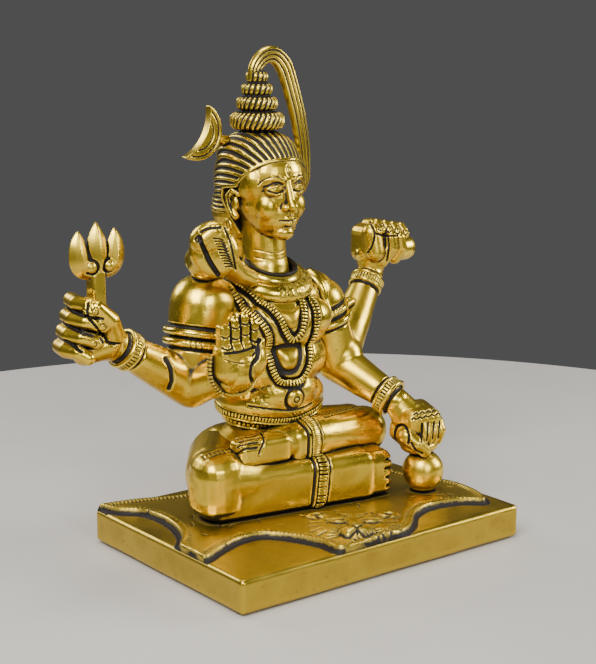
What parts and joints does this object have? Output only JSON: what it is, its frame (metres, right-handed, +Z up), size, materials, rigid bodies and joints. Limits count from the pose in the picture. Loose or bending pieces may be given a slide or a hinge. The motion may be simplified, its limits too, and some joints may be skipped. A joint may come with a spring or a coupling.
{
  "type": "seated deity statue",
  "caption": "Solid cast brass figure of a seated four-armed deity with trident, drum, snake and water pot, cross-legged on a pelt on a rectangular plate; stands free as an ornament.",
  "frame": {"origin": "centre of the plate's underside", "axes": "+Z up; the figure faces -Y; +X is the figure's own left"},
  "size_m": [0.157, 0.0896, 0.1646],
  "materials": {
    "plate_brass": "satin, brushed edges with small casting pits",
    "pelt_brass": "chased relief with blackened recesses",
    "body_brass": "polished, slightly hammered, blackened creases",
    "ornament_brass": "polished notched relief with blackened recesses",
    "snake_brass": "stippled scales with blackened recesses",
    "hair_brass": "combed grooves with blackened recesses"
  },
  "bodies": {
    "root": {"base_plate": "plate_brass", "tiger_skin": "pelt_brass", "right_leg": "body_brass", "left_leg": "body_brass", "right_anklet": "ornament_brass", "left_anklet": "ornament_brass", "torso": "body_brass", "upper_belt": "ornament_brass", "lower_belt": "ornament_brass", "navel_disc": "ornament_brass", "collar": "ornament_brass", "snake_coil": "snake_brass", "snake_hood": "snake_brass", "short_necklace": "ornament_brass", "long_necklace": "ornament_brass", "chest_pendant": "body_brass", "head": "body_brass", "right_earring": "ornament_brass", "left_earring": "ornament_brass", "hair_cap": "hair_brass", "hair_bun": "hair_brass", "crescent_moon": "ornament_brass", "water_stream": "hair_brass", "right_upper_arm": "body_brass", "rear_right_forearm": "body_brass", "rear_right_fist": "body_brass", "trident": "ornament_brass", "front_right_hand": "body_brass", "left_upper_arm": "body_brass", "rear_left_forearm": "body_brass", "rear_left_fist": "body_brass", "drum": "body_brass", "front_left_forearm": "body_brass", "front_left_fist": "body_brass", "water_pot": "body_brass", "right_armlet": "ornament_brass", "left_armlet": "ornament_brass", "rear_right_bracelet": "ornament_brass", "front_right_bracelet": "ornament_brass", "rear_left_bracelet": "ornament_brass", "front_left_bracelet": "ornament_brass"}
  },
  "joints": []
}
